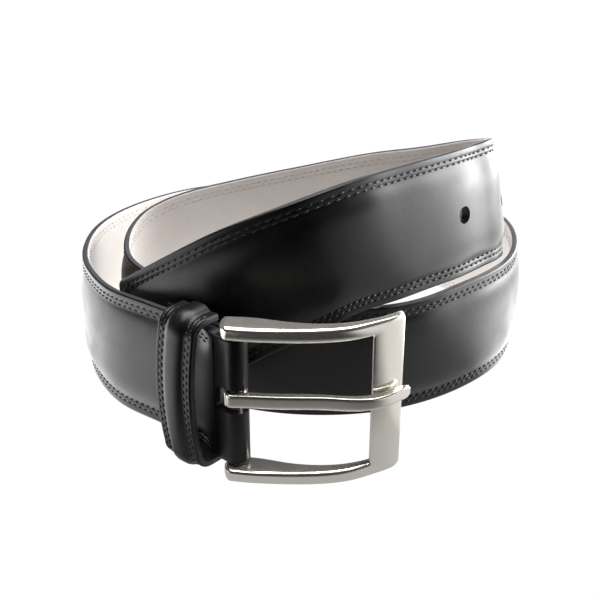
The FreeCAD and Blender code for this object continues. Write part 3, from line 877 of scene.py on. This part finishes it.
def nubuck():
    mat, nodes, links, shader = new_material("lining_nubuck")
    place = nodes.new("ShaderNodeTexCoord").outputs["Object"]
    nap = noise(nodes, links, place, 1800, 8, 0.7)
    cloud = noise(nodes, links, place, 60, 4)
    pores = noise(nodes, links, place, 700, 3)
    mix = nodes.new("ShaderNodeMix")
    mix.data_type = "RGBA"
    mix.inputs["A"].default_value = (0.42, 0.385, 0.36, 1)
    mix.inputs["B"].default_value = (0.53, 0.49, 0.465, 1)
    links.new(cloud.outputs["Fac"], mix.inputs["Factor"])
    speck = nodes.new("ShaderNodeMix")
    speck.data_type = "RGBA"
    speck.blend_type = "MULTIPLY"
    speck.inputs["Factor"].default_value = 1.0
    links.new(mix.outputs["Result"], speck.inputs["A"])
    shade = ramp(nodes, links, nap.outputs["Fac"], 0.3, 0.7, (0.82, 0.82, 0.82, 1), (1, 1, 1, 1))
    links.new(shade, speck.inputs["B"])
    links.new(speck.outputs["Result"], shader.inputs["Base Color"])
    shader.inputs["Roughness"].default_value = 0.9
    shader.inputs["Sheen Weight"].default_value = 0.35
    shader.inputs["Sheen Roughness"].default_value = 0.5
    first = bump(nodes, links, nap.outputs["Fac"], 0.35, 0.0001)
    links.new(bump(nodes, links, pores.outputs["Fac"], 0.25, 0.00015, first), shader.inputs["Normal"])
    return mat


def edge_dye(name, colour, roughness):
    mat, nodes, links, shader = new_material(name)
    place = nodes.new("ShaderNodeTexCoord").outputs["Object"]
    streak = noise(nodes, links, place, 500, 5)
    dark = tuple(c * 0.7 for c in colour)
    tone = ramp(nodes, links, streak.outputs["Fac"], 0.3, 0.7, dark + (1,), colour + (1,))
    links.new(tone, shader.inputs["Base Color"])
    shader.inputs["Roughness"].default_value = roughness
    shader.inputs["Coat Weight"].default_value = 0.35
    shader.inputs["Coat Roughness"].default_value = 0.25
    links.new(bump(nodes, links, streak.outputs["Fac"], 0.3, 0.0002), shader.inputs["Normal"])
    return mat


def waxed_thread(name, colour, roughness=0.5):
    mat, nodes, links, shader = new_material(name)
    place = nodes.new("ShaderNodeTexCoord").outputs["Object"]
    twist = noise(nodes, links, place, 3500, 3)
    dark = tuple(c * 0.6 for c in colour)
    tone = ramp(nodes, links, twist.outputs["Fac"], 0.35, 0.7, dark + (1,), colour + (1,))
    links.new(tone, shader.inputs["Base Color"])
    shader.inputs["Roughness"].default_value = roughness
    links.new(bump(nodes, links, twist.outputs["Fac"], 0.5, 0.0001), shader.inputs["Normal"])
    return mat


def nickel(name, colour, roughness):
    mat, nodes, links, shader = new_material(name)
    place = nodes.new("ShaderNodeTexCoord").outputs["Object"]
    haze = noise(nodes, links, place, 300, 6)
    rough = ramp(nodes, links, haze.outputs["Fac"], 0.35, 0.75, (roughness * 0.7,) * 3 + (1,),
                 (roughness * 1.5,) * 3 + (1,))
    links.new(rough, shader.inputs["Roughness"])
    shader.inputs["Base Color"].default_value = colour + (1,)
    shader.inputs["Metallic"].default_value = 0.86
    links.new(bump(nodes, links, haze.outputs["Fac"], 0.03, 0.0002), shader.inputs["Normal"])
    return mat


def make_materials():
    black = (0.0026, 0.0026, 0.0028)
    return {
        "leather": polished_leather("black_polished_leather", black, 0.34, 0.0),
        "fold": polished_leather("black_fold_leather", black, 0.30, 0.0),
        "edge": edge_dye("dyed_cut_edge", (0.055, 0.055, 0.066), 0.42),
        "keeper_edge": edge_dye("keeper_cut_edge", (0.022, 0.021, 0.021), 0.5),
        "keeper_lining": edge_dye("keeper_inner_leather", (0.018, 0.016, 0.015), 0.7),
        "lining": nubuck(),
        "thread": waxed_thread("black_thread", (0.006, 0.006, 0.007)),
        "bobbin": waxed_thread("grey_bobbin_thread", (0.46, 0.43, 0.41), 0.7),
        "nickel": nickel("polished_nickel", (0.84, 0.80, 0.735), 0.16),
        "steel": nickel("plain_steel", (0.62, 0.61, 0.59), 0.22),
        "felt": edge_dye("padding_felt", (0.3, 0.28, 0.25), 0.9),
    }


# ---------------------------------------------------------------- stage

CAMERA_HEIGHT = 148.0
CAMERA_BACK = -275.0
CAMERA_TILT = math.radians(25.0)
FOCAL_PIXELS = 1000.0
IMAGE_PIXELS = 600.0


def coil_direction(x, y, z):
    """A direction given in the coil's own axes, as a unit vector of the row frame."""
    c, s = math.cos(TURN), math.sin(TURN)
    return Vector((c * x - s * y, s * x + c * y, z)).normalized()


def make_camera():
    camera = bpy.data.cameras.new("camera")
    ob = bpy.data.objects.new("camera", camera)
    bpy.context.scene.collection.objects.link(ob)
    bpy.context.scene.camera = ob
    camera.sensor_width = 36.0
    camera.lens = 36.0 * FOCAL_PIXELS / IMAGE_PIXELS
    camera.clip_start = 0.02
    camera.clip_end = 20
    ob.location = Vector(to_row(np.array([0.0, CAMERA_BACK, CAMERA_HEIGHT])).tolist())
    look = coil_direction(0, math.cos(CAMERA_TILT), -math.sin(CAMERA_TILT))
    ob.rotation_mode = "QUATERNION"
    ob.rotation_quaternion = look.to_track_quat("-Z", "Y")
    return ob


def front_measure(nodes, links, vector):
    """Cosine of the angle between a direction and the way to the camera."""
    unit_vector = nodes.new("ShaderNodeVectorMath")
    unit_vector.operation = "NORMALIZE"
    links.new(vector, unit_vector.inputs[0])
    dot = nodes.new("ShaderNodeVectorMath")
    dot.operation = "DOT_PRODUCT"
    dot.inputs[1].default_value = coil_direction(0, -1, 0.12)
    links.new(unit_vector.outputs["Vector"], dot.inputs[0])
    return dot.outputs["Value"]


def left_measure(nodes, links, vector):
    """Cosine of the angle between a direction and the coil's left, seen from the camera."""
    unit_vector = nodes.new("ShaderNodeVectorMath")
    unit_vector.operation = "NORMALIZE"
    links.new(vector, unit_vector.inputs[0])
    dot = nodes.new("ShaderNodeVectorMath")
    dot.operation = "DOT_PRODUCT"
    dot.inputs[1].default_value = coil_direction(-1, 0, 0)
    links.new(unit_vector.outputs["Vector"], dot.inputs[0])
    return dot.outputs["Value"]


def add(nodes, links, first, second):
    node = nodes.new("ShaderNodeMath")
    node.operation = "ADD"
    links.new(first, node.inputs[0])
    links.new(second, node.inputs[1])
    return node.outputs["Value"]


def map_range(nodes, links, value, low, high, start, end):
    node = nodes.new("ShaderNodeMapRange")
    node.interpolation_type = "SMOOTHSTEP"
    for socket, number in zip(("From Min", "From Max", "To Min", "To Max"), (low, high, start, end)):
        node.inputs[socket].default_value = number
    links.new(value, node.inputs["Value"])
    return node.outputs["Result"]


def maximum(nodes, links, first, second):
    node = nodes.new("ShaderNodeMath")
    node.operation = "MAXIMUM"
    links.new(first, node.inputs[0])
    links.new(second, node.inputs[1])
    return node.outputs["Value"]


# Strength of what the belt reflects, by the direction that it comes from
DARK_FRONT = 0.03
TENT = 1.15
NEAR_FLOOR = 0.5
NEAR_FLOOR_EDGE = (0.085, 0.13)
RIGHT_SHADE = 0.5
FLOOR_RIGHT = 3.0
FLOOR_WINGS = 0.8
FLOOR_BACK = 2.0
FLOOR_LEFT = 1.6


def make_floor():
    """Sheet that the camera sees plain white. What it sends to the belt varies with the direction."""
    mesh = bpy.data.meshes.new("floor")
    size = 4.0
    corners = [(-size, -size, 0), (size, -size, 0), (size, size, 0), (-size, size, 0)]
    mesh.from_pydata(corners, [], [(0, 1, 2, 3)])
    floor = bpy.data.objects.new("floor", mesh)
    floor.location.z = -0.00005
    bpy.context.scene.collection.objects.link(floor)
    mat, nodes, links, shader = new_material("pale_floor")
    nodes.remove(shader)
    white = nodes.new("ShaderNodeEmission")
    white.inputs["Strength"].default_value = 1.02
    glow = nodes.new("ShaderNodeEmission")
    place = nodes.new("ShaderNodeTexCoord").outputs["Object"]
    away = nodes.new("ShaderNodeVectorMath")
    away.operation = "LENGTH"
    links.new(place, away.inputs[0])
    front = front_measure(nodes, links, place)
    wings = map_range(nodes, links, front, 0.74, 0.93, FLOOR_WINGS, DARK_FRONT)
    back = map_range(nodes, links, front, -0.6, 0.6, FLOOR_BACK, 0.0)
    left = map_range(nodes, links, left_measure(nodes, links, place), 0.35, 0.9, 0.0, FLOOR_LEFT)
    near = map_range(nodes, links, away.outputs["Value"], *NEAR_FLOOR_EDGE, NEAR_FLOOR, DARK_FRONT)
    right = map_range(nodes, links, left_measure(nodes, links, place), -0.995, -0.93, FLOOR_RIGHT, 0.0)
    sides = add(nodes, links, add(nodes, links, wings, back), add(nodes, links, left, right))
    links.new(maximum(nodes, links, sides, near), glow.inputs["Strength"])
    path = nodes.new("ShaderNodeLightPath")
    mix = nodes.new("ShaderNodeMixShader")
    links.new(path.outputs["Is Camera Ray"], mix.inputs["Fac"])
    links.new(glow.outputs["Emission"], mix.inputs[1])
    links.new(white.outputs["Emission"], mix.inputs[2])
    links.new(mix.outputs["Shader"], nodes["Material Output"].inputs["Surface"])
    mesh.materials.append(mat)


def area_light(name, position, target, size, size_y, power, colour=(1, 1, 1)):
    light = bpy.data.lights.new(name, "AREA")
    light.shape = "RECTANGLE"
    light.size = size
    light.size_y = size_y
    light.energy = power
    light.color = colour
    ob = bpy.data.objects.new(name, light)
    bpy.context.scene.collection.objects.link(ob)
    place = Vector(to_row(np.array(position, float)).tolist())
    aim = Vector(to_row(np.array(target, float)).tolist())
    ob.location = place
    ob.rotation_mode = "QUATERNION"
    ob.rotation_quaternion = (aim - place).to_track_quat("-Z", "Y")
    return ob


def make_world():
    """Light tent: white at the sides, behind and above, dark towards the camera."""
    world = bpy.data.worlds.new("light_tent")
    world.use_nodes = True
    bpy.context.scene.world = world
    nodes, links = world.node_tree.nodes, world.node_tree.links
    direction = nodes.new("ShaderNodeTexCoord").outputs["Generated"]
    right = map_range(nodes, links, left_measure(nodes, links, direction), -1.0, 0.0, RIGHT_SHADE, 0.0)
    facing = add(nodes, links, front_measure(nodes, links, direction), right)
    around = map_range(nodes, links, facing, 0.25, 0.66, TENT, DARK_FRONT)
    split = nodes.new("ShaderNodeSeparateXYZ")
    links.new(direction, split.inputs[0])
    above = map_range(nodes, links, split.outputs["Z"], 0.75, 0.95, DARK_FRONT, TENT)
    background = nodes["Background"]
    links.new(maximum(nodes, links, around, above), background.inputs["Strength"])


def make_lights():
    make_world()
    area_light("right_softbox", (430, 235, 130), (20, 150, 60), 0.50, 0.42, 12)
    area_light("overhead", (0, 60, 600), (0, 0, 20), 0.6, 0.5, 7)


def main():
    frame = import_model()
    mats = make_materials()
    for node, mat in (("buckle_bar", "steel"), ("keeper_staple", "steel"), ("keeper_filler", "felt"),
                      ("strap_filler", "felt")):
        frame["nodes"][node].data.materials[0] = mats[mat]
    build_strap(mats)
    build_seams(mats)
    build_fold(mats)
    build_turnback_seam(mats)
    build_keeper(mats)
    build_frame(mats)
    build_prong(mats)
    make_camera()
    make_floor()
    make_lights()
    bpy.context.scene.view_settings.view_transform = "Standard"


main()
